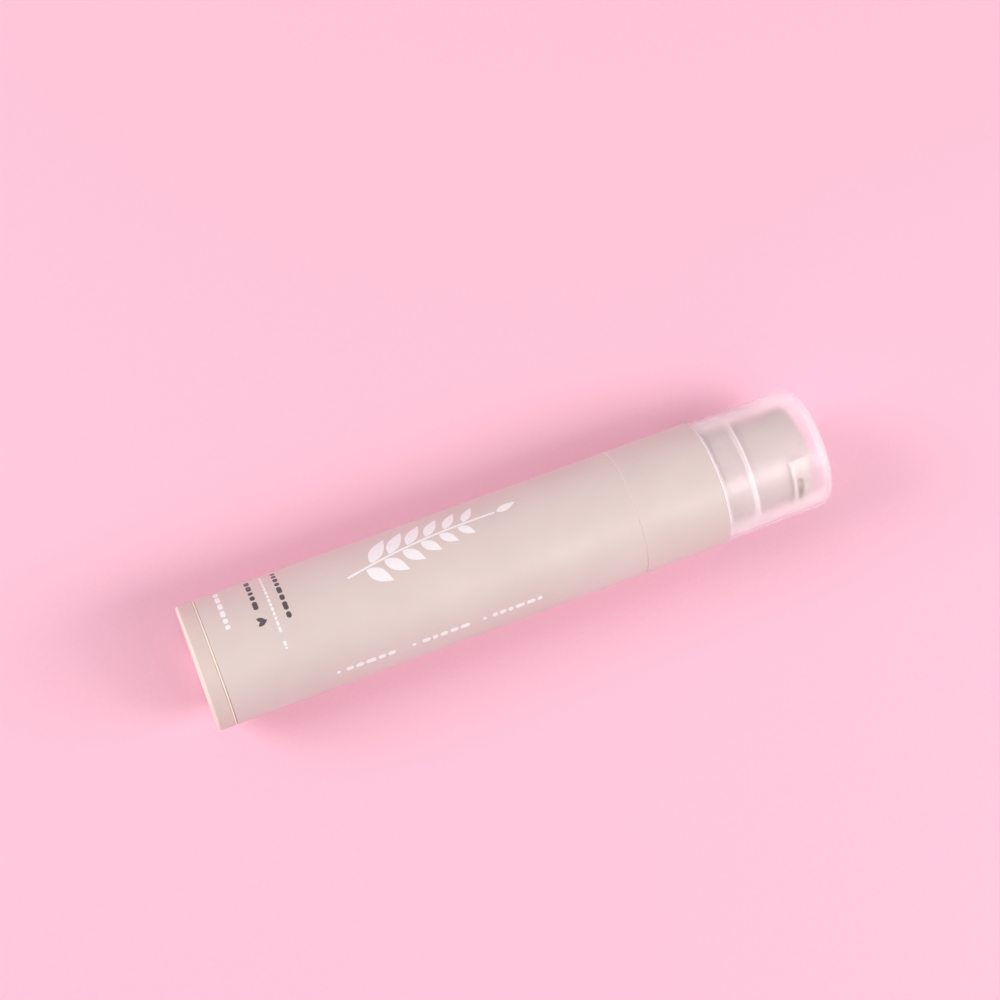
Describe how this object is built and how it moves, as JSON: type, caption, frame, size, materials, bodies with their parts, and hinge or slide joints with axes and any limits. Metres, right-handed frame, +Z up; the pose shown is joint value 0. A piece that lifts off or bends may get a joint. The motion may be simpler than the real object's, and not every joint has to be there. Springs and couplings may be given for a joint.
{
  "type": "airless pump toothpaste dispenser",
  "caption": "Slim round airless toothpaste pack: frosted pull-off cap, press-down swivelling head with a side nozzle, follower piston and snap-in base.",
  "frame": {"origin": "centre of the base, on the surface it stands on", "axes": "+Z up the axis to the cap, -Y the side that carries the print"},
  "size_m": [0.031, 0.031, 0.1581],
  "materials": {
    "body_shell": "fine satin moulded plastic, warm grey-beige",
    "frosted_cap": "frosted translucent plastic",
    "head_plastic": "smooth satin plastic, warm grey-beige",
    "collar_plastic": "smooth pearl-grey plastic",
    "natural_plastic": "uncoloured moulded plastic",
    "soft_seal": "soft uncoloured plastic",
    "gasket_rubber": "soft white seal",
    "spring_steel": "drawn stainless wire",
    "ball_steel": "polished stainless ball",
    "paste": "white paste"
  },
  "bodies": {
    "container": {"barrel": "body_shell", "base_cap": "body_shell", "shoulder_sleeve": "body_shell", "lock_collar": "collar_plastic", "housing_gasket": "gasket_rubber", "pump_housing": "natural_plastic", "housing_guide": "natural_plastic", "ball_cage": "natural_plastic", "return_spring": "spring_steel", "paste_fill": "paste"},
    "cap": {"overcap": "frosted_cap"},
    "stem": {"pump_stem": "natural_plastic", "stem_plug": "natural_plastic"},
    "head": {"actuator_head": "head_plastic", "nozzle_insert": "head_plastic"},
    "piston": {"pump_piston": "soft_seal"},
    "follower": {"follower_piston": "soft_seal"},
    "ball": {"inlet_ball": "ball_steel"}
  },
  "joints": [
    {"name": "cap_pull", "type": "slide", "parent": "container", "child": "cap", "axis": [0, 0, 1], "range_m": [0, 0.03]},
    {"name": "head_press", "type": "slide", "parent": "container", "child": "stem", "axis": [0, 0, -1], "range_m": [0, 0.0065], "stiffness_N_per_m": 700, "springref_m": -0.007, "deforming": ["return_spring"]},
    {"name": "head_swivel", "type": "hinge", "parent": "stem", "child": "head", "pos_m": [0, 0, 0.1429], "axis": [0, 0, 1], "continuous": true},
    {"name": "piston_slip", "type": "slide", "parent": "stem", "child": "piston", "axis": [0, 0, 1], "range_m": [0, 0.001]},
    {"name": "follower_rise", "type": "slide", "parent": "container", "child": "follower", "axis": [0, 0, 1], "range_m": [0, 0.068], "deforming": ["paste_fill"]},
    {"name": "ball_lift", "type": "slide", "parent": "container", "child": "ball", "axis": [0, 0, 1], "range_m": [0, 0.0009]}
  ]
}
